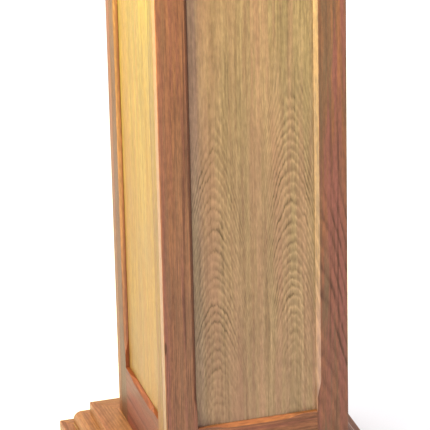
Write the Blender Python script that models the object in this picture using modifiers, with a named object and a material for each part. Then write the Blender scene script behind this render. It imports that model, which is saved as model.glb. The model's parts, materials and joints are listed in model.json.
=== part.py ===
"""Display plinth: a square frame-and-panel column in oak on a stepped base, with a moulded cap.

Units are metres, +Z is up, and the origin is the centre of the footprint on the floor. The front
faces -Y. Every piece of joinery is a separate solid: stiles, rails and panels of four frames, glue
posts, mitred mouldings, boards, corner blocks, fixing screws and levelling feet.
"""

from math import cos, pi, radians, sin, sqrt

import bmesh
import bpy
from mathutils import Matrix, Vector

# ---- driving dimensions -------------------------------------------------------------------------
GAP = 0.0003                # glue line or clearance between touching pieces

TOTAL_HEIGHT = 1.143        # floor to display surface
COLUMN_SIDE = 0.305         # outside width of the square column
BOARD = 0.019               # thickness of the frames' dressed board
STILE_WIDTH = 0.0520        # visible width of a stile on every face
RAIL_HEIGHT = 0.1016        # top and bottom rails
ARRIS = 0.0012              # softened outer corners

REBATE_DEPTH = 0.0069       # timber left in front of the panel's rebate
REBATE_WIDTH = 0.0095
PANEL_THICKNESS = 0.0062
PANEL_PLAY = 0.0006         # room round a panel in its rebate

CHAMFER = 0.0060            # stopped chamfer round each panel opening
CHAMFER_STOP = 0.024        # from the opening's corner to the end of the chamfer
CHAMFER_RUN = 0.028         # length over which the chamfer fades out
CHAMFER_REACH = 4           # the chamfer's cutter is this many times as deep as the chamfer

TENON_LENGTH = 0.022
TENON_THICKNESS = 0.0062
TENON_HEIGHT = 0.060
TENON_SET_BACK = 0.0095     # tenon's outer cheek, from the frame's face
TENON_SHIFT = 0.008         # tenon's centre, from the rail's middle towards the column's end

BASE_TOP_THICKNESS = 0.022  # square-edged upper step
BASE_TOP_LEDGE = 0.0415     # how far each step stands out from the column's face
MOULDING_THICKNESS = 0.027
MOULDING_TOP_LEDGE = 0.0560
MOULDING_FOOT_LEDGE = 0.0650
MOULDING_SLOPE_HEIGHT = 0.0150
PLINTH_HEIGHT = 0.065
PLINTH_LEDGE = 0.0850
PLINTH_THICKNESS = 0.020
RING_WIDTH = 0.037          # how far the flat rings reach in under the column

CAP_MOULDING_THICKNESS = 0.025
CAP_FOOT_LEDGE = 0.0070
CAP_TOP_LEDGE = 0.0190
CAP_LIP = 0.0036            # square lip above and below the cap moulding's slope
TOP_BOARD_THICKNESS = 0.022
TOP_BOARD_LEDGE = 0.0320
TOP_ARRIS = 0.004

POST_SIDE = 0.020           # glue post in each inner corner
POST_CHAMFER = 0.006
INNER_BOARD = 0.018         # floor, ceiling and base boards

BLOCK_SIDE = 0.060          # corner block under the base board
BLOCK_LIFT = 0.010          # block's underside above the floor
FOOT_REST = 0.0005          # pad's underside above the floor when screwed right in
PAD_RADIUS = 0.017
PAD_HEIGHT = 0.006
PAD_EDGE = 0.001            # bevel at the pad's rim and the stem's tip
STEM_RADIUS = 0.0040
STEM_LENGTH = 0.036
STEM_ROOM = 0.0009          # clear radius round the stem above its insert
THREAD_ROOM = 0.0001        # clear radius between the stem and its insert
COLLAR_RADIUS = 0.0075
COLLAR_HEIGHT = 0.0030
INSERT_RADIUS = 0.0065
INSERT_LENGTH = 0.015
INSERT_FLANGE_RADIUS = 0.0090
INSERT_FLANGE = 0.0015

SCREW_RADIUS = 0.0025
SCREW_HEAD_RADIUS = 0.0050
SCREW_HEAD = 0.0030
SCREW_BITE = 0.012          # how far a screw reaches into the column's floor
SCREW_OFFSET = 0.0245       # screw's axis, in from the column's face

# ---- levels and half-widths that follow ---------------------------------------------------------
HALF = COLUMN_SIDE / 2
INNER_HALF = HALF - BOARD
PLINTH_TOP = PLINTH_HEIGHT
MOULDING_TOP = PLINTH_TOP + MOULDING_THICKNESS
COLUMN_FOOT = MOULDING_TOP + BASE_TOP_THICKNESS
COLUMN_TOP = TOTAL_HEIGHT - TOP_BOARD_THICKNESS - CAP_MOULDING_THICKNESS
COLUMN_HEIGHT = COLUMN_TOP - COLUMN_FOOT
COLUMN_MIDDLE = (COLUMN_TOP + COLUMN_FOOT) / 2
CAP_TOP = COLUMN_TOP + CAP_MOULDING_THICKNESS
OPENING_HALF_WIDTH = HALF - STILE_WIDTH
OPENING_HALF_HEIGHT = COLUMN_HEIGHT / 2 - RAIL_HEIGHT
RING_INNER = HALF - RING_WIDTH
PLINTH_INNER = HALF + PLINTH_LEDGE - PLINTH_THICKNESS
SCREW_AXIS = HALF - SCREW_OFFSET
FOOT_AXIS = PLINTH_INNER - BLOCK_SIDE / 2

SIDES = (("front", 0), ("right", 90), ("back", 180), ("left", 270))
CORNERS = (("front_left", 0), ("front_right", 90), ("back_right", 180), ("back_left", 270))

# ---- colours: (red, green, blue), roughness, metallic -------------------------------------------
FINISHES = {
    "oak_frame": ((0.46, 0.22, 0.10), 0.42, 0.0),
    "oak_panel": ((0.50, 0.31, 0.15), 0.45, 0.0),
    "oak_base": ((0.50, 0.25, 0.10), 0.42, 0.0),
    "pine": ((0.66, 0.47, 0.27), 0.70, 0.0),
    "plywood": ((0.60, 0.43, 0.25), 0.70, 0.0),
    "zinc": ((0.62, 0.62, 0.60), 0.35, 1.0),
    "brass": ((0.72, 0.52, 0.22), 0.35, 1.0),
    "nylon": ((0.04, 0.04, 0.04), 0.55, 0.0),
}


def clear_scene():
    for item in list(bpy.data.objects):
        bpy.data.objects.remove(item, do_unlink=True)


def new_collection(name):
    collection = bpy.data.collections.new(name)
    bpy.context.scene.collection.children.link(collection)
    return collection


clear_scene()
PARTS = new_collection("display_plinth")
CUTTERS = new_collection("cutters")


# ---- helpers ------------------------------------------------------------------------------------
def finish(name, finish_name):
    """A Principled material of its own for one piece."""
    colour, roughness, metallic = FINISHES[finish_name]
    material = bpy.data.materials.new(name)
    material.use_nodes = True
    shader = material.node_tree.nodes["Principled BSDF"]
    shader.inputs["Base Color"].default_value = (*colour, 1.0)
    shader.inputs["Roughness"].default_value = roughness
    shader.inputs["Metallic"].default_value = metallic
    return material


def move_to(item, collection):
    for owner in list(item.users_collection):
        owner.objects.unlink(item)
    collection.objects.link(item)
    return item


def as_cutter(item):
    item.hide_render = True
    item.display_type = "WIRE"
    return move_to(item, CUTTERS)


def apply_scale(item):
    item.data.transform(Matrix.Diagonal((*item.scale, 1.0)))
    item.scale = (1, 1, 1)
    return item


def box(name, low, high):
    """A box primitive between two corners, its origin at its middle."""
    low, high = Vector(low), Vector(high)
    bpy.ops.mesh.primitive_cube_add(size=1, location=(low + high) / 2)
    item = bpy.context.object
    item.name = name
    item.scale = high - low
    return apply_scale(item)


def rod(name, radius, foot, top, at=(0, 0), sides=24):
    """An upright cylinder primitive."""
    bpy.ops.mesh.primitive_cylinder_add(
        vertices=sides, radius=radius, depth=top - foot, location=(*at, (foot + top) / 2))
    item = bpy.context.object
    item.name = name
    return item


def cut(item, cutter, operation="DIFFERENCE"):
    modifier = item.modifiers.new(cutter.name, "BOOLEAN")
    modifier.operation = operation
    modifier.solver = "EXACT"
    modifier.object = cutter
    return item


def soften(item, width, segments=1):
    """Small bevel on every edge sharper than 60 degrees."""
    modifier = item.modifiers.new("soften", "BEVEL")
    modifier.width = width
    modifier.segments = segments
    modifier.limit_method = "ANGLE"
    modifier.angle_limit = radians(60)
    return item


def final_mesh(item):
    """The object's mesh after its modifiers, in world space; the object itself is removed."""
    bpy.context.view_layer.update()
    evaluated = item.evaluated_get(bpy.context.evaluated_depsgraph_get())
    mesh = bpy.data.meshes.new_from_object(evaluated)
    mesh.transform(item.matrix_world)
    bpy.data.objects.remove(item, do_unlink=True)
    weld = bmesh.new()
    weld.from_mesh(mesh)
    bmesh.ops.remove_doubles(weld, verts=weld.verts, dist=1e-6)
    weld.to_mesh(mesh)
    weld.free()
    return mesh


def place(name, mesh, finish_name, turn=0.0):
    """A named part made of a mesh, turned about the column's axis."""
    item = bpy.data.objects.new(name, mesh.copy())
    item.data.materials.clear()
    item.data.materials.append(finish(name, finish_name))
    item.rotation_euler = (0, 0, radians(turn))
    PARTS.objects.link(item)
    return item


def profile_bar(name, outline, half_length):
    """A bar along X whose section, seen along X, is an outline of (Y, Z) points."""
    curve = bpy.data.curves.new(name, "CURVE")
    curve.dimensions = "2D"
    curve.fill_mode = "BOTH"
    curve.extrude = half_length
    spline = curve.splines.new("POLY")
    spline.points.add(len(outline) - 1)
    for point, (y, z) in zip(spline.points, outline):
        point.co = (y, z, 0, 1)
    spline.use_cyclic_u = True
    item = bpy.data.objects.new(name, curve)
    PARTS.objects.link(item)
    item.matrix_world = Matrix(((0, 0, 1, 0), (1, 0, 0, 0), (0, 1, 0, 0), (0, 0, 0, 1)))
    mesh = final_mesh(item)
    bar = bpy.data.objects.new(name, mesh)
    PARTS.objects.link(bar)
    return bar


# ---- cutters that several pieces share ----------------------------------------------------------
def chamfer_cutter(name, start, end, outward):
    """A long block whose narrow face planes a stopped chamfer off the edge start-end.

    outward is the direction from the timber through the middle of the chamfer. The block's ends slope,
    so that the chamfer runs out to nothing, CHAMFER_STOP short of each corner.
    """
    start, end, outward = Vector(start), Vector(end), Vector(outward).normalized()
    along = (end - start).normalized()
    across = along.cross(outward)
    depth = CHAMFER / sqrt(2)
    half = (end - start).length / 2 - CHAMFER_STOP - CHAMFER_RUN
    reach, rise = CHAMFER_RUN * CHAMFER_REACH, depth * CHAMFER_REACH
    outline = ((-half, 0), (half, 0), (half + reach, rise), (-half - reach, rise))
    item = profile_bar(name, outline, CHAMFER * CHAMFER_REACH)
    turn = Matrix((across, along, outward)).transposed().to_4x4()
    item.matrix_world = Matrix.Translation((start + end) / 2 - outward * depth) @ turn
    return as_cutter(item)


def opening_edges():
    """Chamfer cutters for the four edges of the front frame's opening."""
    x, y = OPENING_HALF_WIDTH, -HALF
    low, high = COLUMN_MIDDLE - OPENING_HALF_HEIGHT, COLUMN_MIDDLE + OPENING_HALF_HEIGHT
    return {
        "left": chamfer_cutter("chamfer_left", (-x, y, low), (-x, y, high), (1, -1, 0)),
        "right": chamfer_cutter("chamfer_right", (x, y, low), (x, y, high), (-1, -1, 0)),
        "bottom": chamfer_cutter("chamfer_bottom", (-x, y, low), (x, y, low), (0, -1, 1)),
        "top": chamfer_cutter("chamfer_top", (-x, y, high), (x, y, high), (0, -1, -1)),
    }


def panel_space():
    """The rebated space behind the front frame, which its panel goes into from inside."""
    x = OPENING_HALF_WIDTH + REBATE_WIDTH
    z = OPENING_HALF_HEIGHT + REBATE_WIDTH
    low = (-x, -HALF + REBATE_DEPTH, COLUMN_MIDDLE - z)
    high = (x, -HALF + BOARD * 2, COLUMN_MIDDLE + z)
    return as_cutter(box("panel_space", low, high))


def tenon_corners():
    """Lowest and highest corners of the tenon that runs through each rail and into both stiles."""
    made = {}
    for end, sign in (("top", 1), ("bottom", -1)):
        middle = COLUMN_MIDDLE + sign * (COLUMN_HEIGHT / 2 - RAIL_HEIGHT / 2 + TENON_SHIFT)
        x = OPENING_HALF_WIDTH + TENON_LENGTH
        front = -HALF + TENON_SET_BACK
        low = (-x, front, middle - TENON_HEIGHT / 2)
        high = (x, front + TENON_THICKNESS, middle + TENON_HEIGHT / 2)
        made[end] = (low, high)
    return made


EDGES = opening_edges()
PANEL_SPACE = panel_space()
TENONS = tenon_corners()
MORTISES = {
    end: as_cutter(box(f"mortise_{end}", [v - GAP for v in low], [v + GAP for v in high]))
    for end, (low, high) in TENONS.items()
}


# ---- column -------------------------------------------------------------------------------------
def stile(outer, soft_edge):
    """The front frame's right stile, from the opening out to x = outer."""
    item = box("stile", (OPENING_HALF_WIDTH, -HALF, COLUMN_FOOT + GAP),
               (outer, -HALF + BOARD - GAP, COLUMN_TOP - GAP))
    if soft_edge:
        half = BOARD / 2
        arris = box("arris", (-half, -half, -COLUMN_HEIGHT), (half, half, COLUMN_HEIGHT))
        outward = Vector((1, -1, 0)).normalized()
        corner = Vector((outer, -HALF, COLUMN_MIDDLE))
        arris.location = corner + outward * (half - ARRIS / sqrt(2))
        arris.rotation_euler = (0, 0, radians(45))
        cut(item, as_cutter(arris))
    cut(item, PANEL_SPACE)
    cut(item, MORTISES["top"])
    cut(item, MORTISES["bottom"])
    cut(item, EDGES["right"])
    return final_mesh(item)


def mirrored(mesh):
    """The same piece for the other hand."""
    other = mesh.copy()
    other.transform(Matrix.Scale(-1, 4, (1, 0, 0)))
    other.flip_normals()
    return other


def rail(end):
    """The front frame's top or bottom rail with its two stub tenons."""
    sign = 1 if end == "top" else -1
    inner = COLUMN_MIDDLE + sign * OPENING_HALF_HEIGHT
    outer = COLUMN_MIDDLE + sign * (COLUMN_HEIGHT / 2 - GAP)
    x = OPENING_HALF_WIDTH - GAP
    item = box("rail", (-x, -HALF, min(inner, outer)), (x, -HALF + BOARD - GAP, max(inner, outer)))
    tenon = as_cutter(box("tenon", *TENONS[end]))
    cut(item, tenon, "UNION")
    cut(item, PANEL_SPACE)
    cut(item, EDGES[end])
    return final_mesh(item)


def build_frames():
    wide = stile(HALF, True)
    narrow = stile(INNER_HALF - GAP, False)
    rails = {end: rail(end) for end in ("top", "bottom")}
    panel = final_mesh(box(
        "panel",
        (-OPENING_HALF_WIDTH - REBATE_WIDTH + PANEL_PLAY, -HALF + REBATE_DEPTH + GAP,
         COLUMN_MIDDLE - OPENING_HALF_HEIGHT - REBATE_WIDTH + PANEL_PLAY),
        (OPENING_HALF_WIDTH + REBATE_WIDTH - PANEL_PLAY,
         -HALF + REBATE_DEPTH + GAP + PANEL_THICKNESS,
         COLUMN_MIDDLE + OPENING_HALF_HEIGHT + REBATE_WIDTH - PANEL_PLAY)))
    for side, turn in SIDES:
        right = wide if side in ("front", "back") else narrow
        place(f"{side}_stile_right", right, "oak_frame", turn)
        place(f"{side}_stile_left", mirrored(right), "oak_frame", turn)
        for end, mesh in rails.items():
            place(f"{side}_rail_{end}", mesh, "oak_frame", turn)
        place(f"{side}_panel", panel, "oak_panel", turn)


def build_column_inside():
    inner = INNER_HALF - GAP
    foot, top = COLUMN_FOOT + GAP, COLUMN_TOP - GAP
    floor = box("column_floor", (-inner, -inner, foot), (inner, inner, foot + INNER_BOARD))
    for side, turn in SIDES:
        hole = rod(f"pilot_{side}", SCREW_RADIUS + GAP, foot - BOARD, foot + SCREW_BITE + GAP)
        hole.location.x = SCREW_AXIS * sin(radians(turn))
        hole.location.y = -SCREW_AXIS * cos(radians(turn))
        cut(floor, as_cutter(hole))
    place("column_floor", final_mesh(floor), "plywood")
    ceiling = box("column_ceiling", (-inner, -inner, top - INNER_BOARD), (inner, inner, top))
    place("column_ceiling", final_mesh(ceiling), "plywood")

    near = -INNER_HALF + GAP
    far = near + POST_SIDE
    outline = ((near, near), (far, near), (far, far - POST_CHAMFER), (far - POST_CHAMFER, far), (near, far))
    post_foot = foot + INNER_BOARD + GAP
    post_top = top - INNER_BOARD - GAP
    post = profile_bar("post", outline, (post_top - post_foot) / 2)
    post.matrix_world = (
        Matrix.Translation((0, 0, (post_foot + post_top) / 2)) @ Matrix.Rotation(radians(-90), 4, "Y")
        @ Matrix.Rotation(radians(-90), 4, "X"))
    mesh = final_mesh(post)
    for corner, turn in CORNERS:
        place(f"glue_post_{corner}", mesh, "pine", turn)


# ---- mitred rings -------------------------------------------------------------------------------
def mitre_wedge():
    """A triangular block that keeps one side of a mitred ring, half a glue line in from the mitres."""
    reach = COLUMN_SIDE * 2
    middle = (0, -reach - GAP / sqrt(2), TOTAL_HEIGHT / 2)
    bpy.ops.mesh.primitive_cylinder_add(
        vertices=4, radius=reach, depth=TOTAL_HEIGHT * 2, location=middle)
    item = bpy.context.object
    item.name = "mitre_wedge"
    return as_cutter(item)


WEDGE = mitre_wedge()


def ring_side(name, outline, screw_hole=False):
    """The front side of a mitred ring: an outline in (Y, Z), cut at both mitres."""
    bar = profile_bar(name, outline, HALF + PLINTH_LEDGE + BOARD)
    cut(bar, WEDGE, "INTERSECT")
    if screw_hole:
        hole = rod(f"{name}_hole", SCREW_RADIUS + GAP, 0, COLUMN_FOOT + BOARD, (0, -SCREW_AXIS))
        cut(bar, as_cutter(hole))
    return final_mesh(bar)


def ledge(distance):
    """Y of a face that stands out this far from the column's front face."""
    return -HALF - distance


def soft_corner(y, z, toward_y, toward_z):
    """Two points that take a small bevel off an outline's corner at (y, z)."""
    return ((y + toward_y * ARRIS, z), (y, z + toward_z * ARRIS))


def sloped_edge(y_top, z_top, y_foot, z_foot, steps=5, bulge=0.0016):
    """A gently rounded slope between two corners, as points from the top one to the foot one."""
    run = Vector((y_foot - y_top, z_foot - z_top))
    normal = Vector((run.y, -run.x)).normalized()
    if normal.x > 0:
        normal = -normal
    points = []
    for i in range(steps + 1):
        t = i / steps
        p = Vector((y_top, z_top)) + run * t + normal * (bulge * sin(pi * t))
        points.append((p.x, p.y))
    return points


def build_base():
    inner = -RING_INNER
    outer = ledge(BASE_TOP_LEDGE)
    low, high = MOULDING_TOP + GAP, COLUMN_FOOT
    outline = [(inner, low), (inner, high), *soft_corner(outer, high, 1, -1),
               *reversed(soft_corner(outer, low, 1, 1))]
    top_step = ring_side("base_step", outline, screw_hole=True)

    low, high = PLINTH_TOP + GAP, MOULDING_TOP
    slope = sloped_edge(ledge(MOULDING_TOP_LEDGE), high,
                        ledge(MOULDING_FOOT_LEDGE), high - MOULDING_SLOPE_HEIGHT)
    outline = [(inner, low), (inner, high), *slope, (ledge(MOULDING_FOOT_LEDGE), low)]
    moulding = ring_side("base_moulding", outline, screw_hole=True)

    outer = ledge(PLINTH_LEDGE)
    inner = -PLINTH_INNER
    outline = [(inner, 0), (inner, PLINTH_TOP), *soft_corner(outer, PLINTH_TOP, 1, -1),
               *reversed(soft_corner(outer, 0, 1, 1))]
    plinth = ring_side("plinth_board", outline)

    for side, turn in SIDES:
        place(f"base_step_{side}", top_step, "oak_base", turn)
        place(f"base_moulding_{side}", moulding, "oak_base", turn)
        place(f"plinth_board_{side}", plinth, "oak_base", turn)

    half = PLINTH_INNER - GAP
    board = box("base_board", (-half, -half, PLINTH_TOP - INNER_BOARD), (half, half, PLINTH_TOP))
    for side, turn in SIDES:
        at = (SCREW_AXIS * sin(radians(turn)), -SCREW_AXIS * cos(radians(turn)))
        cut(board, as_cutter(rod(f"base_hole_{side}", SCREW_RADIUS + GAP, 0, COLUMN_FOOT, at)))
    place("base_board", final_mesh(board), "plywood")


def build_cap():
    inner = -RING_INNER
    low, high = COLUMN_TOP, CAP_TOP - GAP
    slope = sloped_edge(ledge(CAP_TOP_LEDGE), high - CAP_LIP, ledge(CAP_FOOT_LEDGE), low + CAP_LIP)
    outline = [(inner, low), (inner, high), (ledge(CAP_TOP_LEDGE), high), *slope,
               (ledge(CAP_FOOT_LEDGE), low)]
    moulding = ring_side("cap_moulding", outline)
    for side, turn in SIDES:
        place(f"cap_moulding_{side}", moulding, "oak_base", turn)
    half = HALF + TOP_BOARD_LEDGE
    board = box("top_board", (-half, -half, CAP_TOP), (half, half, TOTAL_HEIGHT))
    soften(board, TOP_ARRIS, 3)
    place("top_board", final_mesh(board), "oak_base")


# ---- fixings and feet ---------------------------------------------------------------------------
def build_screws():
    head_top = PLINTH_TOP - INNER_BOARD - GAP
    tip = COLUMN_FOOT + SCREW_BITE
    shank = rod("screw", SCREW_RADIUS, head_top - SCREW_HEAD / 2, tip, (0, -SCREW_AXIS), sides=16)
    head = rod("head", SCREW_HEAD_RADIUS, head_top - SCREW_HEAD, head_top, (0, -SCREW_AXIS), sides=16)
    cut(shank, as_cutter(head), "UNION")
    mesh = final_mesh(shank)
    for side, turn in SIDES:
        place(f"column_screw_{side}", mesh, "zinc", turn)


def foot_profile():
    """Half section of a levelling foot, from the stem's tip down to the pad's underside."""
    pad_top = FOOT_REST + PAD_HEIGHT
    tip = pad_top + STEM_LENGTH
    return (
        (0, tip),
        (STEM_RADIUS - PAD_EDGE, tip),
        (STEM_RADIUS, tip - PAD_EDGE),
        (STEM_RADIUS, pad_top),
        (PAD_RADIUS - PAD_EDGE * 2, pad_top),
        (PAD_RADIUS, pad_top - PAD_EDGE * 2),
        (PAD_RADIUS, FOOT_REST + PAD_EDGE),
        (PAD_RADIUS - PAD_EDGE, FOOT_REST),
        (0, FOOT_REST),
    )


def turned(name, profile, steps=24):
    """A solid of revolution about Z from a half section that runs from top to bottom."""
    mesh = bpy.data.meshes.new(name)
    outline = bmesh.new()
    points = [outline.verts.new((radius, 0, height)) for radius, height in profile]
    for first, second in zip(points, points[1:]):
        outline.edges.new((first, second))
    outline.to_mesh(mesh)
    outline.free()
    item = bpy.data.objects.new(name, mesh)
    PARTS.objects.link(item)
    screw = item.modifiers.new("turn", "SCREW")
    screw.steps = steps
    screw.render_steps = steps
    screw.use_merge_vertices = True
    screw.merge_threshold = 0.00001
    return item


def build_feet():
    insert_foot = BLOCK_LIFT
    insert_flange_top = insert_foot + INSERT_FLANGE
    block_top = PLINTH_TOP - INNER_BOARD - GAP
    outer = -PLINTH_INNER + GAP
    inner = outer + BLOCK_SIDE
    block = box("block", (outer, outer, BLOCK_LIFT), (inner, inner, block_top))
    at = (-FOOT_AXIS, -FOOT_AXIS)
    hole = rod("block_hole", INSERT_RADIUS + GAP, 0, insert_flange_top + INSERT_LENGTH + GAP, at)
    recess = rod("flange_recess", INSERT_FLANGE_RADIUS + GAP, 0, insert_flange_top + GAP, at)
    clearance = rod("stem_clearance", STEM_RADIUS + STEM_ROOM, 0, block_top * 2, at)
    for cutter in (hole, recess, clearance):
        cut(block, as_cutter(cutter))
    block_mesh = final_mesh(block)

    insert = rod("insert", INSERT_RADIUS, insert_foot, insert_foot + INSERT_LENGTH, at)
    flange = rod("flange", INSERT_FLANGE_RADIUS, insert_foot, insert_flange_top, at)
    cut(insert, as_cutter(flange), "UNION")
    cut(insert, as_cutter(rod("thread_core", STEM_RADIUS + THREAD_ROOM, 0, block_top, at)))
    insert_mesh = final_mesh(insert)

    foot = turned("foot", foot_profile())
    collar = rod("collar", COLLAR_RADIUS, FOOT_REST + PAD_HEIGHT / 2, FOOT_REST + PAD_HEIGHT + COLLAR_HEIGHT,
                 sides=6)
    cut(foot, as_cutter(collar), "UNION")
    foot_mesh = final_mesh(foot)

    for corner, turn in CORNERS:
        place(f"corner_block_{corner}", block_mesh, "pine", turn)
        place(f"foot_insert_{corner}", insert_mesh, "brass", turn)
        axis = bpy.data.objects.new(f"foot_axis_{corner}", None)
        PARTS.objects.link(axis)
        spot = Matrix.Rotation(radians(turn), 4, "Z") @ Vector((*at, 0))
        axis.location = spot
        place(f"levelling_foot_{corner}", foot_mesh, "zinc").parent = axis


build_frames()
build_column_inside()
build_base()
build_cap()
build_screws()
build_feet()
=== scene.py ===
"""Looks of the display plinth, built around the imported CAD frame: oak joinery with procedural timber,
inner plywood and pine, metal fixings, a pale floor, soft studio light and the camera.

Units are metres in the row frame: +Z up, the front faces -Y, the origin is on the floor.
"""

import json
from collections import namedtuple
from math import cos, radians, sin
from random import Random

import bmesh
import bpy
from mathutils import Matrix, Vector


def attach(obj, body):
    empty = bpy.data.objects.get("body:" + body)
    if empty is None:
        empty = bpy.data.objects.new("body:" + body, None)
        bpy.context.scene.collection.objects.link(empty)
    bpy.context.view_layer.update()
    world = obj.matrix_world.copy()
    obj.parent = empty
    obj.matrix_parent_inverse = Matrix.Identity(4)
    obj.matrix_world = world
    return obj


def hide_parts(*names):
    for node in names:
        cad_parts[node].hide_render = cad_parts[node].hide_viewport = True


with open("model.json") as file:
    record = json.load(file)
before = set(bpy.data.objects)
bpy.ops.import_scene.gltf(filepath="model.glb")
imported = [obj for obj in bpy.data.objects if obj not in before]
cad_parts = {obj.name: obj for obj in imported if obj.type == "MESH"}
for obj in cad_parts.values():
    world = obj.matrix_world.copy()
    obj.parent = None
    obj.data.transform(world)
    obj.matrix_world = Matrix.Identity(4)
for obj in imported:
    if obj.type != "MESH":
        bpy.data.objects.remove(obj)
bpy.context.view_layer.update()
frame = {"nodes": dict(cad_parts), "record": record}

body_of_node = {}
for body, members in frame["record"]["behaviour"]["bodies"].items():
    for member in members:
        body_of_node[member] = body

# ---- camera -------------------------------------------------------------------------------------
SENSOR = 36.0
LENS = 284.65116
VIEW_AZIMUTH = radians(-15.89)
VIEW_ELEVATION = radians(23.66)
VIEW_ROLL = radians(-1.29)
VIEW_DISTANCE = 5.468
VIEW_TARGET = Vector((-0.0212, 0.0, 0.5148))
VIEW_NEAREST = 0.1
VIEW_FARTHEST = 100.0

# ---- light and floor ----------------------------------------------------------------------------
LAMP_SPREAD = radians(100)
KEY_PLACE = Vector((-1.60, -0.58, 1.66))
KEY_AIM = Vector((-0.15, 0.0, 1.05))
KEY_SIZE = (0.35, 0.60)
KEY_POWER = 38.0
KEY_COLOUR = (1.0, 0.90, 0.20)
FILL_PLACE = Vector((-1.15, -1.35, 1.80))
FILL_AIM = Vector((0.0, -0.15, 1.05))
FILL_SIZE = (0.9, 0.9)
FILL_POWER = 10.0
FILL_COLOUR = (1.0, 0.97, 0.86)
WORLD_COLOUR = (1.0, 0.99, 1.01)
WORLD_RISE = (0.0, 0.85, 0.60, 1.45)        # a ramp over z, from the horizon to the zenith
WORLD_SIDES = (-0.7, 0.8, 1.10, 0.84)       # a ramp over x, from left to right
FLOOR_SIDE = 40.0
FLOOR_COLOUR = (0.98, 0.98, 0.98)
FLOOR_SHADE = 0.985
FLOOR_CLOUDS = (1.5, 1.5, 1.5)
FLOOR_DETAIL = 3.0
FLOOR_ROUGHNESS = 0.9
FLOOR_SHINE = 0.1

# ---- shaping ------------------------------------------------------------------------------------
WELD = 0.00002
FLAT_ANGLE = radians(0.5)
EDGE_ANGLE = radians(20)
FINE_BEVEL = 0.0003
BASE_BEVEL = 0.0008

SIDE_TURN = {"front": 0, "right": 90, "back": 180, "left": 270}
CORNER_TURN = {"front_left": 0, "front_right": 90, "back_right": 180, "back_left": 270}

# ---- timber -------------------------------------------------------------------------------------
# noises by name: cells to a metre along the grain and across it, detail, roughness
TIMBER_NOISES = {
    "wander": (2.4, 11.0, 1.0, 0.5),
    "wobble": (26.0, 120.0, 2.0, 0.6),
    "kinks": (55.0, 290.0, 1.0, 0.5),
    "bold": (9.0, 26.0, 1.0, 0.5),
    "pores": (55.0, 1500.0, 1.0, 0.5),
    "dashes": (34.0, 330.0, 2.0, 0.5),
    "streaks": (5.0, 210.0, 3.0, 0.65),
    "grit": (58.0, 430.0, 2.0, 0.6),
    "veins": (3.0, 120.0, 2.0, 0.6),
    "broad": (1.6, 26.0, 2.0, 0.5),
    "stripes": (3.4, 95.0, 2.0, 0.6),
    "wisps": (8.0, 250.0, 2.0, 0.6),
    "clouds": (7.0, 30.0, 2.0, 0.5),
    "flecks": (75.0, 260.0, 2.0, 0.6),
}

# how far the rings stray, and how far below its top an arch is rounded
WANDER = 4.5                                # in rings, the others in metres
WOBBLE = 0.0017
KINKS = 0.0008
ARCH_ROUNDING = 0.08

# ramps: where the value starts and ends, then what the ramp gives there, which is 0 and 1 unless it says
PORES_OPEN = (0.0, 0.16)                    # through a ring, whose pores lie at its start
PORES_CLOSE = (0.20, 0.60, 1.0, 0.0)
LATE_OPENS = (0.56, 0.80)                   # through a ring, whose late wood lies near its end
LATE_CLOSES = (0.88, 1.0, 1.0, 0.0)
RING_DEPTHS = (0.10, 0.90, 0.35, 1.15)      # by the ring's own chance
RING_STRETCHES = (0.36, 0.64, 0.40, 1.20)   # by the bold noise, which comes and goes along the rings
ARMS_OUTWARD = (0.018, 0.042, 1.0, 0.45)    # metres from the pith, over the face
ARMS_UPWARD = (-0.50, -0.34, 0.30, 1.0)     # metres from the topmost arch
CROWN_UPWARD = (-0.18, 0.10, 1.0, 0.30)
FIBRES = (0.39, 0.61)
PORES = (0.52, 0.66)
DASHES = (0.38, 0.62)
VEINS = (0.54, 0.74)
BROAD_WARM = (0.42, 0.68, 0.0, 0.75)
BROAD_COOL = (0.30, 0.48, 0.8, 0.0)
STRIPES_WARM = (0.50, 0.66)
STRIPES_COOL = (0.32, 0.50, 1.0, 0.0)
WISPS = (0.52, 0.68)
WISPS_BY_RINGS = (0.25, 1.0, 0.95, 0.25)    # by how much of the rings shows
CLOUDS = (0.25, 0.75, 0.92, 1.08)
CLOUDS_ROUGH = (0.2, 0.8, -0.04, 0.05)
FLECKS = (0.32, 0.68, 0.89, 1.11)
BRUISE = (0.75, 1.25, 0.88, 0.0)            # from the bruise's middle, in its half sizes

# shares and strengths
STREAK_SHARE = 0.62
GRIT_SHARE = 0.38
DASH_SHARE = 0.50
PORE_SHARE = 0.15
LATE_SHARE = 0.52
LATE_LIFT = 0.5
WISP_LIFT = 0.25
WEAR_CLEARS = 0.7
# worn faces pale towards this colour: real wear, and on eased edges and chamfers also a painted highlight
WEAR_AND_HIGHLIGHT_SHARE = 0.35
WEAR_AND_HIGHLIGHT_COLOUR = (1.45, 1.40, 1.35)
BRUISE_GRIT = 0.5
BRUISE_COLOUR = (0.042, 0.014, 0.005)
TIMBER_SHINE = 0.30
DARK_ROUGH = 0.16
PORE_HEIGHT = -0.6
DARK_HEIGHT = -0.5
STREAK_HEIGHT = 0.3
TIMBER_RELIEF = 0.00025
TIMBER_BUMP = 0.5

# ---- plywood and metal --------------------------------------------------------------------------
PLY = 0.0026
PLY_ALONG = (5.0, 260.0, 260.0)
PLY_ACROSS = (260.0, 5.0, 260.0)
PLY_DETAIL = 3.0
PLY_FIBRES = (0.3, 0.7)
PLY_LEVEL = (0.2, 0.8)                      # by how level a face is: the sheet's edges have stripes
PLY_BAND = 0.5
PLY_ROUGHNESS = (0.2, 0.8, 0.62, 0.80)
PLY_RELIEF = 0.0002
PLY_BUMP = 0.5

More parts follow.
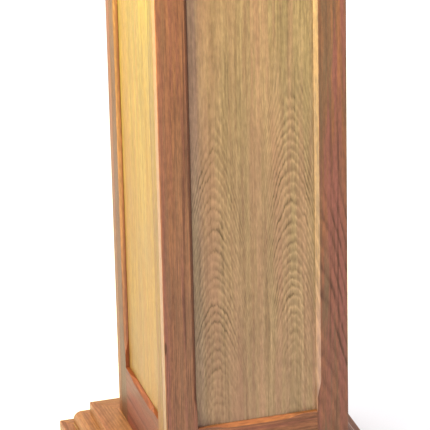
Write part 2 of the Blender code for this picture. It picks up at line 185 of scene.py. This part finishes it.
METAL_PATCHES = (160.0, 160.0, 160.0)
METAL_PATCH_DETAIL = 4.0
METAL_PATCH_ROUGHNESS = 0.6
METAL_MARKS = (300.0, 300.0, 4200.0)
METAL_DULL = (0.35, 0.75)
METAL_ROUGHENS = (0.3, 0.8)
METAL_ROUGHER = 0.22
METAL_MARKS_ROUGH = 0.08
METAL_RELIEF = 0.00006
METAL_BUMP = 0.4


def rgba(colour):
    return (*colour, 1.0)


class Graph:
    """Writes a node tree as expressions. Values are output sockets or plain numbers."""

    def __init__(self, tree):
        self.tree = tree
        tree.nodes.clear()

    def node(self, kind, **settings):
        made = self.tree.nodes.new(kind)
        for name, value in settings.items():
            setattr(made, name, value)
        return made

    def put(self, socket, value):
        if isinstance(value, bpy.types.NodeSocket):
            self.tree.links.new(value, socket)
        else:
            socket.default_value = value

    def math(self, operation, *values):
        made = self.node("ShaderNodeMath", operation=operation)
        for socket, value in zip(made.inputs, values):
            self.put(socket, value)
        return made.outputs[0]

    def add(self, *values):
        total = values[0]
        for value in values[1:]:
            total = self.math("ADD", total, value)
        return total

    def times(self, a, b):
        return self.math("MULTIPLY", a, b)

    def left_of_one(self, value):
        return self.math("SUBTRACT", 1.0, value)

    def swing(self, noise, reach):
        """The noise about 0 instead of 0.5, and reach times as large."""
        return self.times(self.math("SUBTRACT", noise, 0.5), reach)

    def split(self, vector):
        made = self.node("ShaderNodeSeparateXYZ")
        self.put(made.inputs[0], vector)
        return made.outputs[0], made.outputs[1], made.outputs[2]

    def join(self, x, y, z):
        made = self.node("ShaderNodeCombineXYZ")
        for socket, value in zip(made.inputs, (x, y, z)):
            self.put(socket, value)
        return made.outputs[0]

    def place(self):
        """The place in the object's own frame."""
        return self.node("ShaderNodeTexCoord").outputs["Object"]

    def attribute(self, name):
        return self.node("ShaderNodeAttribute", attribute_name=name).outputs["Vector"]

    def strength(self, name):
        return self.node("ShaderNodeAttribute", attribute_name=name).outputs["Fac"]

    def noise(self, vector, scale, detail=2.0, roughness=0.5):
        """Noise from 0 to 1, about 0.5, with as many cells to a metre as scale says for each axis."""
        made = self.node("ShaderNodeTexNoise")
        self.put(made.inputs["Vector"], self.vector_math("MULTIPLY", vector, scale))
        made.inputs["Scale"].default_value = 1.0
        made.inputs["Detail"].default_value = detail
        made.inputs["Roughness"].default_value = roughness
        return made.outputs["Fac"]

    def chance(self, value):
        made = self.node("ShaderNodeTexWhiteNoise", noise_dimensions="1D")
        self.put(made.inputs["W"], value)
        return made.outputs["Value"]

    def vector_math(self, operation, a, b):
        made = self.node("ShaderNodeVectorMath", operation=operation)
        self.put(made.inputs[0], a)
        self.put(made.inputs[1], b)
        return made.outputs[0]

    def length(self, vector):
        made = self.node("ShaderNodeVectorMath", operation="LENGTH")
        self.put(made.inputs[0], vector)
        return made.outputs["Value"]

    def ramp(self, value, low, high, to_low=0.0, to_high=1.0):
        """value from low to high, eased and held to the range to_low to to_high."""
        made = self.node("ShaderNodeMapRange", interpolation_type="SMOOTHSTEP")
        for socket, item in zip(made.inputs, (value, low, high, to_low, to_high)):
            self.put(socket, item)
        return made.outputs[0]

    def mix(self, factor, a, b, blend="MIX"):
        made = self.node("ShaderNodeMix", data_type="RGBA", blend_type=blend)
        self.put(made.inputs["Factor"], factor)
        first, second = [s for s in made.inputs if s.type == "RGBA"]
        for socket, value in ((first, a), (second, b)):
            self.put(socket, rgba(value) if isinstance(value, tuple) else value)
        return [s for s in made.outputs if s.type == "RGBA"][0]

    def tint(self, colour, by):
        return self.mix(1.0, colour, by, "MULTIPLY")

    def bump(self, height, distance, strength):
        made = self.node("ShaderNodeBump")
        made.inputs["Strength"].default_value = strength
        made.inputs["Distance"].default_value = distance
        self.put(made.inputs["Height"], height)
        return made.outputs["Normal"]


def new_material(name):
    material = bpy.data.materials.new(name)
    material.use_nodes = True
    graph = Graph(material.node_tree)
    shader = graph.node("ShaderNodeBsdfPrincipled")
    output = graph.node("ShaderNodeOutputMaterial")
    graph.put(output.inputs["Surface"], shader.outputs[0])
    return material, graph, shader


# ---- timber's parts -----------------------------------------------------------------------------


def timber_noises(graph):
    """The timber's noises by name, at a place in them that is the board's own."""
    _, _, seed = graph.split(graph.attribute("figure"))
    place = graph.vector_math("ADD", graph.attribute("grain"), graph.join(seed, seed, seed))
    return {
        name: graph.noise(place, (along, across, across), detail, roughness)
        for name, (along, across, detail, roughness) in TIMBER_NOISES.items()
    }


def ring_part(graph, noises):
    """How far through its ring a place lies, from 0 to 1, and a chance that is the ring's own.

    Rings lie at equal distances from the pith, which the grain attribute puts at v = w = 0, and rise
    along u, so that they meet a flat face in arches.
    """
    u, v, w = graph.split(graph.attribute("grain"))
    taper, spacing, seed = graph.split(graph.attribute("figure"))
    radius = graph.math("SQRT", graph.add(graph.times(v, v), graph.times(w, w)))
    below = graph.math("SMOOTH_MIN", u, 0.0, ARCH_ROUNDING)
    wobble = graph.swing(noises["wobble"], WOBBLE)
    kinks = graph.swing(noises["kinks"], KINKS)
    field = graph.add(radius, graph.times(below, taper), wobble, kinks)
    phase = graph.add(graph.math("DIVIDE", field, spacing), graph.swing(noises["wander"], WANDER))
    own = graph.chance(graph.add(graph.math("FLOOR", phase), seed))
    return graph.math("FRACT", phase), own


def rings_shown(graph, calm_arms):
    """How much of the rings shows: less above the topmost arch and, by calm_arms, on the arches' arms."""
    u, v, _ = graph.split(graph.attribute("grain"))
    arms = graph.ramp(graph.math("ABSOLUTE", v), *ARMS_OUTWARD)
    arms = graph.times(arms, graph.ramp(u, *ARMS_UPWARD))
    arms = graph.add(graph.times(arms, calm_arms), 1.0 - calm_arms)
    return graph.times(arms, graph.ramp(u, *CROWN_UPWARD))


def ring_bands(graph, noises, shown):
    """The dark porous band at the start of each ring and the pale late wood near its end."""
    part, own = ring_part(graph, noises)
    porous = graph.times(graph.ramp(part, *PORES_OPEN), graph.ramp(part, *PORES_CLOSE))
    porous = graph.times(porous, graph.ramp(own, *RING_DEPTHS))
    porous = graph.times(porous, graph.ramp(noises["bold"], *RING_STRETCHES))
    pale = graph.times(graph.ramp(part, *LATE_OPENS), graph.ramp(part, *LATE_CLOSES))
    return graph.times(porous, shown), graph.times(pale, shown)


def dark_figure(graph, noises, porous, pores, contrast, vein):
    """All that is darker than the ground: porous bands broken into dashes, single pores and long veins."""
    dashes = graph.ramp(noises["dashes"], *DASHES)
    bands = graph.times(porous, graph.add(1.0 - DASH_SHARE, graph.times(dashes, DASH_SHARE)))
    veins = graph.ramp(noises["veins"], *VEINS)
    return graph.add(graph.times(bands, contrast), graph.times(pores, PORE_SHARE), graph.times(veins, vein))


def ground_colour(graph, noises, early, late, pale):
    """Early and late wood in fine fibres, lighter by pale."""
    fibres = graph.add(graph.times(noises["streaks"], STREAK_SHARE), graph.times(noises["grit"], GRIT_SHARE))
    colour = graph.mix(graph.ramp(fibres, *FIBRES), early, late)
    return graph.mix(pale, colour, graph.mix(LATE_LIFT, colour, early, "ADD"))


def hued_colour(graph, noises, colour, early, warm, cool, hues, shown):
    """The colour with broad patches and stripes of warm and cool, and pale wisps where few rings show."""
    colour = graph.mix(graph.ramp(noises["broad"], *BROAD_WARM), colour, warm)
    colour = graph.mix(graph.times(graph.ramp(noises["broad"], *BROAD_COOL), hues), colour, cool)
    wisps = graph.times(graph.ramp(noises["wisps"], *WISPS), graph.ramp(shown, *WISPS_BY_RINGS))
    colour = graph.mix(graph.times(wisps, hues), colour, graph.mix(WISP_LIFT, early, early, "ADD"))
    colour = graph.mix(graph.times(graph.ramp(noises["stripes"], *STRIPES_WARM), hues), colour, warm)
    return graph.mix(graph.times(graph.ramp(noises["stripes"], *STRIPES_COOL), hues), colour, cool)


def aged_colour(graph, noises, colour, worn_and_highlit):
    """The colour under clouds and flecks, its tone with painted light, wear and painted edge highlights, and
    its bruise.
    """
    lift = graph.times(graph.ramp(noises["clouds"], *CLOUDS), graph.ramp(noises["flecks"], *FLECKS))
    colour = graph.tint(colour, graph.join(lift, lift, lift))
    colour = graph.tint(colour, graph.attribute("tone"))
    colour = graph.mix(graph.times(worn_and_highlit, WEAR_AND_HIGHLIGHT_SHARE), colour, graph.tint(colour, WEAR_AND_HIGHLIGHT_COLOUR))
    away = graph.add(graph.length(graph.attribute("mark")), graph.times(noises["grit"], BRUISE_GRIT))
    return graph.mix(graph.ramp(away, *BRUISE), colour, BRUISE_COLOUR)


# ---- materials ----------------------------------------------------------------------------------


def timber(name, early, late, streak, warm, cool, contrast, vein, hues, calm_arms, roughness):
    """Sawn timber: early and late are its ground, streak its dark figure, warm and cool its patches.

    contrast, vein and hues say how strongly its rings, long veins and patches show, and calm_arms how
    far its rings fade on the arms of their arches.
    """
    material, graph, shader = new_material(name)
    noises = timber_noises(graph)
    worn_and_highlit = graph.strength("wear_and_highlight")
    shown = rings_shown(graph, calm_arms)
    porous, pale = ring_bands(graph, noises, shown)
    pores = graph.ramp(noises["pores"], *PORES)
    dark = dark_figure(graph, noises, porous, pores, contrast, vein)
    dark = graph.times(dark, graph.left_of_one(graph.times(worn_and_highlit, WEAR_CLEARS)))
    hues = graph.times(graph.left_of_one(worn_and_highlit), hues)

    colour = ground_colour(graph, noises, early, late, graph.times(pale, LATE_SHARE * contrast))
    colour = hued_colour(graph, noises, colour, early, warm, cool, hues, shown)
    colour = graph.mix(graph.math("MINIMUM", dark, 1.0), colour, streak)
    graph.put(shader.inputs["Base Color"], aged_colour(graph, noises, colour, worn_and_highlit))

    clouds = graph.ramp(noises["clouds"], *CLOUDS_ROUGH)
    graph.put(shader.inputs["Roughness"], graph.add(roughness, graph.times(dark, DARK_ROUGH), clouds))
    shader.inputs["Specular IOR Level"].default_value = TIMBER_SHINE
    height = graph.add(
        graph.times(pores, PORE_HEIGHT),
        graph.times(dark, DARK_HEIGHT),
        graph.times(noises["streaks"], STREAK_HEIGHT),
    )
    graph.put(shader.inputs["Normal"], graph.bump(height, TIMBER_RELIEF, TIMBER_BUMP))
    return material


def plies(name, face, core, edge):
    """Plywood: its plies lie across w, which is the sheet's thickness, and their grain crosses."""
    material, graph, shader = new_material(name)
    grain = graph.attribute("grain")
    _, _, w = graph.split(grain)
    layer = graph.math("FLOOR", graph.math("DIVIDE", w, PLY))
    odd = graph.math("MODULO", graph.math("ABSOLUTE", layer), 2.0)
    along = graph.times(graph.noise(grain, PLY_ALONG, PLY_DETAIL), graph.left_of_one(odd))
    across = graph.times(graph.noise(grain, PLY_ACROSS, PLY_DETAIL), odd)
    fibres = graph.add(along, across)
    colour = graph.mix(graph.ramp(fibres, *PLY_FIBRES), face, core)
    _, _, upward = graph.split(graph.node("ShaderNodeNewGeometry").outputs["Normal"])
    level = graph.ramp(graph.math("ABSOLUTE", upward), *PLY_LEVEL)
    banded = graph.mix(PLY_BAND, colour, graph.mix(odd, face, edge))
    colour = graph.mix(level, banded, colour)
    graph.put(shader.inputs["Base Color"], graph.tint(colour, graph.attribute("tone")))
    graph.put(shader.inputs["Roughness"], graph.ramp(fibres, *PLY_ROUGHNESS))
    graph.put(shader.inputs["Normal"], graph.bump(fibres, PLY_RELIEF, PLY_BUMP))
    return material


def metal(name, colour, dull, roughness):
    """Plated metal with fine turning marks and dull, rougher patches."""
    material, graph, shader = new_material(name)
    place = graph.place()
    patches = graph.noise(place, METAL_PATCHES, METAL_PATCH_DETAIL, METAL_PATCH_ROUGHNESS)
    marks = graph.noise(place, METAL_MARKS)
    graph.put(shader.inputs["Base Color"], graph.mix(graph.ramp(patches, *METAL_DULL), colour, dull))
    shader.inputs["Metallic"].default_value = 1.0
    rough = graph.ramp(patches, *METAL_ROUGHENS, roughness, roughness + METAL_ROUGHER)
    graph.put(shader.inputs["Roughness"], graph.add(rough, graph.times(marks, METAL_MARKS_ROUGH)))
    graph.put(shader.inputs["Normal"], graph.bump(marks, METAL_RELIEF, METAL_BUMP))
    return material


oak_frame = timber(
    "oak_frame", early=(0.180, 0.074, 0.036), late=(0.110, 0.041, 0.022), streak=(0.048, 0.015, 0.010),
    warm=(0.160, 0.056, 0.042), cool=(0.142, 0.070, 0.040),
    contrast=0.58, vein=0.62, hues=0.60, calm_arms=0.0, roughness=0.42)
oak_figured = timber(
    "oak_figured", early=(0.188, 0.066, 0.029), late=(0.128, 0.048, 0.026), streak=(0.070, 0.024, 0.015),
    warm=(0.188, 0.057, 0.047), cool=(0.120, 0.066, 0.037),
    contrast=0.90, vein=0.75, hues=0.85, calm_arms=0.0, roughness=0.42)
oak_panel = timber(
    "oak_panel", early=(0.272, 0.176, 0.100), late=(0.176, 0.106, 0.058), streak=(0.098, 0.058, 0.028),
    warm=(0.250, 0.132, 0.086), cool=(0.212, 0.147, 0.073),
    contrast=1.05, vein=0.42, hues=0.50, calm_arms=1.0, roughness=0.44)
oak_base = timber(
    "oak_base", early=(0.268, 0.120, 0.060), late=(0.196, 0.078, 0.037), streak=(0.095, 0.035, 0.017),
    warm=(0.236, 0.086, 0.048), cool=(0.205, 0.096, 0.045),
    contrast=0.42, vein=0.40, hues=0.45, calm_arms=0.0, roughness=0.42)
pine = timber(
    "pine", early=(0.70, 0.50, 0.28), late=(0.62, 0.42, 0.22), streak=(0.48, 0.28, 0.12),
    warm=(0.66, 0.44, 0.24), cool=(0.64, 0.47, 0.27),
    contrast=0.55, vein=0.10, hues=0.20, calm_arms=0.0, roughness=0.62)
plywood = plies("plywood", face=(0.66, 0.50, 0.31), core=(0.55, 0.38, 0.22), edge=(0.34, 0.21, 0.11))
zinc = metal("zinc_plate", colour=(0.66, 0.66, 0.64), dull=(0.44, 0.45, 0.46), roughness=0.30)
brass = metal("brass_turned", colour=(0.74, 0.55, 0.25), dull=(0.55, 0.38, 0.15), roughness=0.28)

# ---- figure and colour of each board ------------------------------------------------------------
# In a side's own frame x runs along the side, y into the column and z up.

# pith: its place across the face; depth: how far it lies behind the face; top: the topmost arch's place
# along the board; taper: how fast the rings rise; spacing: from ring to ring
Figure = namedtuple("Figure", "pith depth top taper spacing")
FIGURES = {
    "front_stile_left": Figure(0.060, 0.050, 0.40, 0.05, 0.0032),
    "front_stile_right": Figure(0.088, 0.040, 0.62, 0.30, 0.0125),
    "left_stile_left": Figure(0.060, 0.060, 0.40, 0.05, 0.0045),
    "left_stile_right": Figure(0.040, 0.060, 0.40, 0.04, 0.0045),
    "left_rail_bottom": Figure(0.020, 0.030, 0.20, 0.05, 0.0045),
}
# the same by chance, for the other solid pieces
PITH_RANGE = (-0.05, 0.05)
DEPTH_RANGE = (0.03, 0.08)
TOP_RANGE = (-0.2, 0.3)
TAPER_RANGE = (0.03, 0.09)
SPACING_RANGE = (0.0036, 0.0052)
SEED_RANGE = (1.0, 40.0)

# the two boards that make each panel, from the side's left. calm: how far a board's figure is subdued;
# lightness: its colour beside the panel's
Leaf = namedtuple("Leaf", "pith depth top calm lightness")
LEAVES = {
    "front_panel": (Leaf(-0.064, 0.072, 0.74, 0.30, 0.88), Leaf(0.063, 0.070, 0.78, 0.0, 1.02)),
    "left_panel": (Leaf(-0.120, 0.030, 0.30, 0.7, 0.98), Leaf(0.130, 0.030, 0.30, 0.7, 1.00)),
    "right_panel": (Leaf(-0.048, 0.066, 0.52, 0.0, 1.03), Leaf(0.060, 0.074, 0.66, 0.2, 0.95)),
    "back_panel": (Leaf(-0.060, 0.072, 0.74, 0.0, 0.97), Leaf(0.046, 0.064, 0.58, 0.1, 1.04)),
}
SEAM = 0.0                                  # where the two meet
PANEL_TAPER = 0.100
PANEL_SPACING = 0.00165

# pieces of figured oak, and solid pieces whose figure is subdued, with how far
FIGURED = ("front_stile_right",)
CALM = {"left_stile_left": 0.8, "left_stile_right": 0.6}

# each piece's colour beside its material's
# the left panel's and the left stiles' yellower tones are partly painted light: the yellow key light on the
# left face
TONES = {
    "left_stile_right": (0.95, 1.37, 0.88),
    "left_stile_left": (0.55, 0.63, 0.44),
    "left_rail_bottom": (0.74, 0.42, 0.56),
    "front_rail_bottom": (1.06, 0.97, 1.06),
    "front_stile_left": (1.0, 1.0, 1.05),
    "front_stile_right": (0.91, 0.95, 1.0),
    "front_panel": (0.92, 0.94, 1.01),
    "left_panel": (0.79, 0.79, 0.49),
}
# the same by chance: red, then green and blue beside it
RED_RANGE = (0.92, 1.07)
GREEN_RANGE = (0.97, 1.03)
BLUE_RANGE = (0.94, 1.05)

EVEN = (1.0, 1.0, 1.0)

# painted light: each piece's colour at the foot and at the top, beside its tone, paints the lamps' light
# falling off towards the foot
PAINTED_LIGHT_FALLOFF = {
    "left_stile_left": ((0.74, 0.60, 0.80), (1.20, 1.32, 0.82)),
    "left_stile_right": ((0.92, 0.72, 0.84), (0.96, 1.24, 0.86)),
    "left_panel": ((0.95, 0.86, 0.90), (0.95, 1.10, 0.90)),
    "front_panel": ((0.93, 0.92, 1.05), (1.00, 1.03, 0.91)),
    "front_stile_left": ((0.95, 0.96, 1.20), (0.93, 0.94, 0.74)),
    "front_stile_right": ((0.83, 0.87, 1.02), (1.05, 1.09, 1.02)),
}

# painted light on faces by which way they face: paler for painted highlights and reflected light, darker for
# painted shade. way: which way they face; colour: theirs beside the piece's; deep: that of their deep edge
# beside the outer one, a painted shade in the recess's corner
PaintedLightPatch = namedtuple("PaintedLightPatch", "way colour deep")
LEFTWARD = Vector((-1, 0, 0))
RIGHTWARD = Vector((1, 0, 0))
UPWARD = Vector((0, 0, 1))
CHAMFER_LEFT = Vector((-0.707, -0.707, 0))
CHAMFER_RIGHT = Vector((0.707, -0.707, 0))
CHAMFER_UP = Vector((0, -0.707, 0.707))
PAINTED_LIGHT_PATCHES = {
    "front_stile_left": (
        PaintedLightPatch(LEFTWARD, (1.26, 1.96, 2.30), EVEN),
        PaintedLightPatch(CHAMFER_RIGHT, (0.95, 0.86, 0.78), (0.40, 0.34, 0.34)),
    ),
    "front_stile_right": (
        PaintedLightPatch(CHAMFER_LEFT, (1.18, 2.00, 3.15), EVEN),
        PaintedLightPatch(LEFTWARD, (1.20, 1.85, 3.40), EVEN),
    ),
    "front_rail_bottom": (
        PaintedLightPatch(CHAMFER_UP, (1.14, 1.13, 0.76), EVEN),
        PaintedLightPatch(UPWARD, (0.90, 0.93, 0.66), EVEN),
    ),
    "left_stile_left": (
        PaintedLightPatch(CHAMFER_RIGHT, (2.50, 2.75, 5.10), (0.42, 0.26, 0.20)),
        PaintedLightPatch(RIGHTWARD, (1.80, 1.20, 1.25), EVEN),
    ),
    "left_rail_bottom": (
        PaintedLightPatch(CHAMFER_UP, (1.45, 1.85, 0.95), EVEN),
        PaintedLightPatch(UPWARD, (1.30, 1.60, 0.85), EVEN),
    ),
}
PATCH_COSINE = 0.94

# dark bruises: the middle, in the side's own frame, and the half sizes. No bruise is one far from it all
Bruise = namedtuple("Bruise", "middle reach")
BRUISES = {"front_stile_left": Bruise((-0.1506, -0.1525, 0.365), (0.0026, 0.0016, 0.0150))}
NO_BRUISE = Bruise((0.0, 0.0, -9.0), (1.0, 1.0, 1.0))


def local_turn(node):
    """The rotation that turns the row frame so that the node's own side faces -Y."""
    for corner, turn in CORNER_TURN.items():
        if node.endswith(corner):
            return Matrix.Rotation(-radians(turn), 3, "Z")
    for side, turn in SIDE_TURN.items():
        if node.startswith(side) or node.endswith(side):
            return Matrix.Rotation(-radians(turn), 3, "Z")
    return Matrix.Identity(3)


def grain_axes(node):
    """The local axes that run along the node's grain, across its face and into it."""
    if "rail" in node:
        return 0, 2, 1
    if any(word in node for word in ("board", "step", "moulding", "floor", "ceiling")):
        return 0, 1, 2
    return 2, 0, 1


def seeded(words):
    return Random("plinth " + words)


def figure_of(node, low, high):
    """A solid piece's figure, with its pith's depth as a place on the local axis."""
    along, across, inward = grain_axes(node)
    if node in FIGURES:
        figure = FIGURES[node]
        return figure._replace(depth=low[inward] + figure.depth)
    random = seeded(node)
    return Figure(
        pith=(low[across] + high[across]) / 2 + random.uniform(*PITH_RANGE),
        depth=low[inward] + random.uniform(*DEPTH_RANGE),
        top=(low[along] + high[along]) / 2 + random.uniform(*TOP_RANGE),
        taper=random.uniform(*TAPER_RANGE),
        spacing=random.uniform(*SPACING_RANGE),
    )


def tone_of(node):
    if node in TONES:
        return Vector(TONES[node])
    random = seeded("tone " + node)
    red = random.uniform(*RED_RANGE)
    return Vector((red, red * random.uniform(*GREEN_RANGE), red * random.uniform(*BLUE_RANGE)))


def leaf_at(node, x):
    """The board of a panel that lies at x, or None for a solid piece."""
    if node not in LEAVES:
        return None
    left, right = LEAVES[node]
    return right if x > SEAM else left


def painted_light_patch_at(node, facing):
    """The painted light patch, highlight or shade, that a face of the node belongs to, or None."""
    for painted_patch in PAINTED_LIGHT_PATCHES.get(node, ()):
        if facing.dot(painted_patch.way) > PATCH_COSINE:
            return painted_patch
    return None


def clean_copy(node):
    """The CAD node's shape as a bmesh with its flat faces whole again."""
    source = frame["nodes"][node].data
    mesh = bmesh.new()
    for vertex in source.vertices:
        mesh.verts.new(vertex.co)
    mesh.verts.ensure_lookup_table()
    for face in source.polygons:
        try:
            mesh.faces.new([mesh.verts[i] for i in face.vertices])
        except ValueError:      # the same face is there already
            continue
    bmesh.ops.remove_doubles(mesh, verts=mesh.verts, dist=WELD)
    bmesh.ops.dissolve_limit(mesh, angle_limit=FLAT_ANGLE, verts=mesh.verts, edges=mesh.edges)
    return mesh


def cut_seam(mesh, node):
    """Gives a panel an edge between its two boards."""
    across = local_turn(node).inverted() @ RIGHTWARD
    geometry = list(mesh.verts) + list(mesh.edges) + list(mesh.faces)
    bmesh.ops.bisect_plane(mesh, geom=geometry, plane_co=across * SEAM, plane_no=across)


def ease_edges(mesh, width):
    """Rounds the sharp edges and returns the faces that this makes."""
    sharp = [e for e in mesh.edges if e.is_manifold and e.is_convex and e.calc_face_angle() > EDGE_ANGLE]
    made = bmesh.ops.bevel(
        mesh, geom=sharp, offset=width, offset_type="OFFSET", segments=2, profile=0.5,
        affect="EDGES", clamp_overlap=True, material=-1,
    )
    return set(made["faces"])


def extent(places):
    """The lowest and the highest coordinates of some places."""
    low = [min(place[i] for place in places) for i in range(3)]
    high = [max(place[i] for place in places) for i in range(3)]
    return low, high


def write_grain(mesh, node):
    """Stores at each corner its place from the pith (grain) and its board's rings and seed (figure)."""
    turn = local_turn(node)
    places = {v: turn @ v.co for v in mesh.verts}
    low, high = extent(places.values())
    along, across, inward = grain_axes(node)
    grain = mesh.loops.layers.float_vector.new("grain")
    figure = mesh.loops.layers.float_vector.new("figure")
    seed = seeded("seed " + node).uniform(*SEED_RANGE)
    solid = figure_of(node, low, high)
    for face in mesh.faces:
        leaf = leaf_at(node, (turn @ face.calc_center_median()).x)
        for loop in face.loops:
            place = places[loop.vert]
            if leaf:
                loop[grain] = (place.z - leaf.top, place.x - leaf.pith, leaf.depth)
                loop[figure] = (PANEL_TAPER, PANEL_SPACING, seed + leaf.pith)
            else:
                loop[grain] = (
                    place[along] - solid.top,
                    place[across] - solid.pith,
                    place[inward] - solid.depth,
                )
                loop[figure] = (solid.taper, solid.spacing, seed)


def write_colour(mesh, node, rounded):
    """Stores at each corner what its colour needs.

    tone is its colour beside the material's, with painted highlights, painted shade and a painted light
    falloff from foot to top; wear how far its figure is rubbed away and paled, which on eased edges and
    chamfers also paints their highlights; and mark its place from the bruise in half sizes.
    """
    turn = local_turn(node)
    places = {v: turn @ v.co for v in mesh.verts}
    low, high = extent(places.values())
    tone = mesh.loops.layers.float_vector.new("tone")
    wear_and_highlight = mesh.loops.layers.float.new("wear_and_highlight")
    mark = mesh.loops.layers.float_vector.new("mark")
    bruise = BRUISES.get(node, NO_BRUISE)
    piece_tone = tone_of(node)
    at_foot, at_top = (Vector(colour) for colour in PAINTED_LIGHT_FALLOFF.get(node, (EVEN, EVEN)))
    for face in mesh.faces:
        leaf = leaf_at(node, (turn @ face.calc_center_median()).x)
        painted_patch = painted_light_patch_at(node, turn @ face.normal)
        # eased edges and painted light faces are wholly worn and so paler: part wear, part painted highlight
        calm = 1.0 if painted_patch or face in rounded else CALM.get(node, 0.0)
        if leaf:
            calm = max(calm, leaf.calm)
        outer = min(places[v].y for v in face.verts)
        inner = max(places[v].y for v in face.verts)
        for loop in face.loops:
            place = places[loop.vert]
            shade = piece_tone
            if leaf:
                shade = piece_tone * leaf.lightness
            # painted highlight or painted shade by which way the face faces, darkest at its deep edge for
            # painted shade in the recess's corner
            if painted_patch:
                sunk = (place.y - outer) / max(inner - outer, WELD)
                shade = piece_tone * Vector(painted_patch.colour) * Vector(EVEN).lerp(Vector(painted_patch.deep), sunk)
            # painted light falloff: the colour darkens towards the foot
            height = (place.z - low[2]) / (high[2] - low[2])
            loop[tone] = shade * at_foot.lerp(at_top, height)
            loop[wear_and_highlight] = calm
            loop[mark] = [(place[i] - bruise.middle[i]) / bruise.reach[i] for i in range(3)]


def timber_piece(node, material, bevel):
    """Replaces a wooden CAD node by its own shape with eased edges and grain."""
    mesh = clean_copy(node)
    if node in LEAVES:
        cut_seam(mesh, node)
    rounded = ease_edges(mesh, bevel)
    write_grain(mesh, node)
    write_colour(mesh, node, rounded)
    for face in mesh.faces:
        face.smooth = face in rounded
    data = bpy.data.meshes.new(node + "_timber")
    mesh.to_mesh(data)
    mesh.free()
    piece = bpy.data.objects.new(node + "_timber", data)
    bpy.context.scene.collection.objects.link(piece)
    data.materials.append(material)
    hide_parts(node)
    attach(piece, body_of_node[node])


def metal_piece(node, material):
    """Gives a metal CAD node its material."""
    for slot in frame["nodes"][node].material_slots:
        slot.link = "OBJECT"
        slot.material = material


def dress(node):
    """Gives a CAD node its piece or its material."""
    if "panel" in node:
        timber_piece(node, oak_panel, FINE_BEVEL)
    elif "stile" in node or "rail" in node:
        timber_piece(node, oak_figured if node in FIGURED else oak_frame, FINE_BEVEL)
    elif "step" in node or "moulding" in node or "plinth_board" in node or node == "top_board":
        timber_piece(node, oak_base, BASE_BEVEL)
    elif "post" in node or "block" in node:
        timber_piece(node, pine, FINE_BEVEL)
    elif node in ("base_board", "column_floor", "column_ceiling"):
        timber_piece(node, plywood, FINE_BEVEL)
    elif "insert" in node:
        metal_piece(node, brass)
    else:
        metal_piece(node, zinc)


# ---- floor, light and camera --------------------------------------------------------------------


def floor_paint():
    material, graph, shader = new_material("floor_paint")
    clouds = graph.noise(graph.place(), FLOOR_CLOUDS, FLOOR_DETAIL)
    shade = tuple(part * FLOOR_SHADE for part in FLOOR_COLOUR)
    graph.put(shader.inputs["Base Color"], graph.mix(clouds, FLOOR_COLOUR, shade))
    shader.inputs["Roughness"].default_value = FLOOR_ROUGHNESS
    shader.inputs["Specular IOR Level"].default_value = FLOOR_SHINE
    return material


def build_floor():
    mesh = bmesh.new()
    bmesh.ops.create_grid(mesh, x_segments=1, y_segments=1, size=FLOOR_SIDE / 2)
    data = bpy.data.meshes.new("floor")
    mesh.to_mesh(data)
    mesh.free()
    floor = bpy.data.objects.new("floor", data)
    bpy.context.scene.collection.objects.link(floor)
    data.materials.append(floor_paint())


def softbox(name, place, aim, size, power, colour):
    """A flat rectangular lamp at place that shines towards aim."""
    lamp = bpy.data.lights.new(name, "AREA")
    lamp.shape = "RECTANGLE"
    lamp.size, lamp.size_y = size
    lamp.energy = power
    lamp.spread = LAMP_SPREAD
    lamp.color = colour
    box = bpy.data.objects.new(name, lamp)
    box.location = place
    box.rotation_euler = (aim - place).to_track_quat("-Z", "Y").to_euler()
    bpy.context.scene.collection.objects.link(box)


def build_world():
    """A studio that is brighter above than at the horizon, and to the left than to the right."""
    world = bpy.data.worlds.new("studio")
    bpy.context.scene.world = world
    world.use_nodes = True
    graph = Graph(world.node_tree)
    ground = graph.node("ShaderNodeBackground")
    output = graph.node("ShaderNodeOutputWorld")
    graph.put(output.inputs[0], ground.outputs[0])
    x, _, z = graph.split(graph.node("ShaderNodeTexCoord").outputs["Generated"])
    ground.inputs["Color"].default_value = rgba(WORLD_COLOUR)
    strength = graph.times(graph.ramp(z, *WORLD_RISE), graph.ramp(x, *WORLD_SIDES))
    graph.put(ground.inputs["Strength"], strength)


def build_camera():
    right = Vector((cos(VIEW_AZIMUTH), sin(VIEW_AZIMUTH), 0.0))
    back = Vector((
        sin(VIEW_AZIMUTH) * cos(VIEW_ELEVATION),
        -cos(VIEW_AZIMUTH) * cos(VIEW_ELEVATION),
        sin(VIEW_ELEVATION),
    ))
    up = back.cross(right)
    across = right * cos(VIEW_ROLL) + up * sin(VIEW_ROLL)
    upward = up * cos(VIEW_ROLL) - right * sin(VIEW_ROLL)
    data = bpy.data.cameras.new("camera")
    data.sensor_width = SENSOR
    data.lens = LENS
    data.clip_start = VIEW_NEAREST
    data.clip_end = VIEW_FARTHEST
    camera = bpy.data.objects.new("camera", data)
    turn = Matrix((across, upward, back)).transposed().to_4x4()
    camera.matrix_world = Matrix.Translation(VIEW_TARGET + back * VIEW_DISTANCE) @ turn
    bpy.context.scene.collection.objects.link(camera)
    bpy.context.scene.camera = camera


for node in sorted(frame["nodes"]):
    dress(node)
build_floor()
build_world()
softbox("key", KEY_PLACE, KEY_AIM, KEY_SIZE, KEY_POWER, KEY_COLOUR)
softbox("fill", FILL_PLACE, FILL_AIM, FILL_SIZE, FILL_POWER, FILL_COLOUR)
build_camera()
bpy.context.scene.view_settings.view_transform = "Standard"
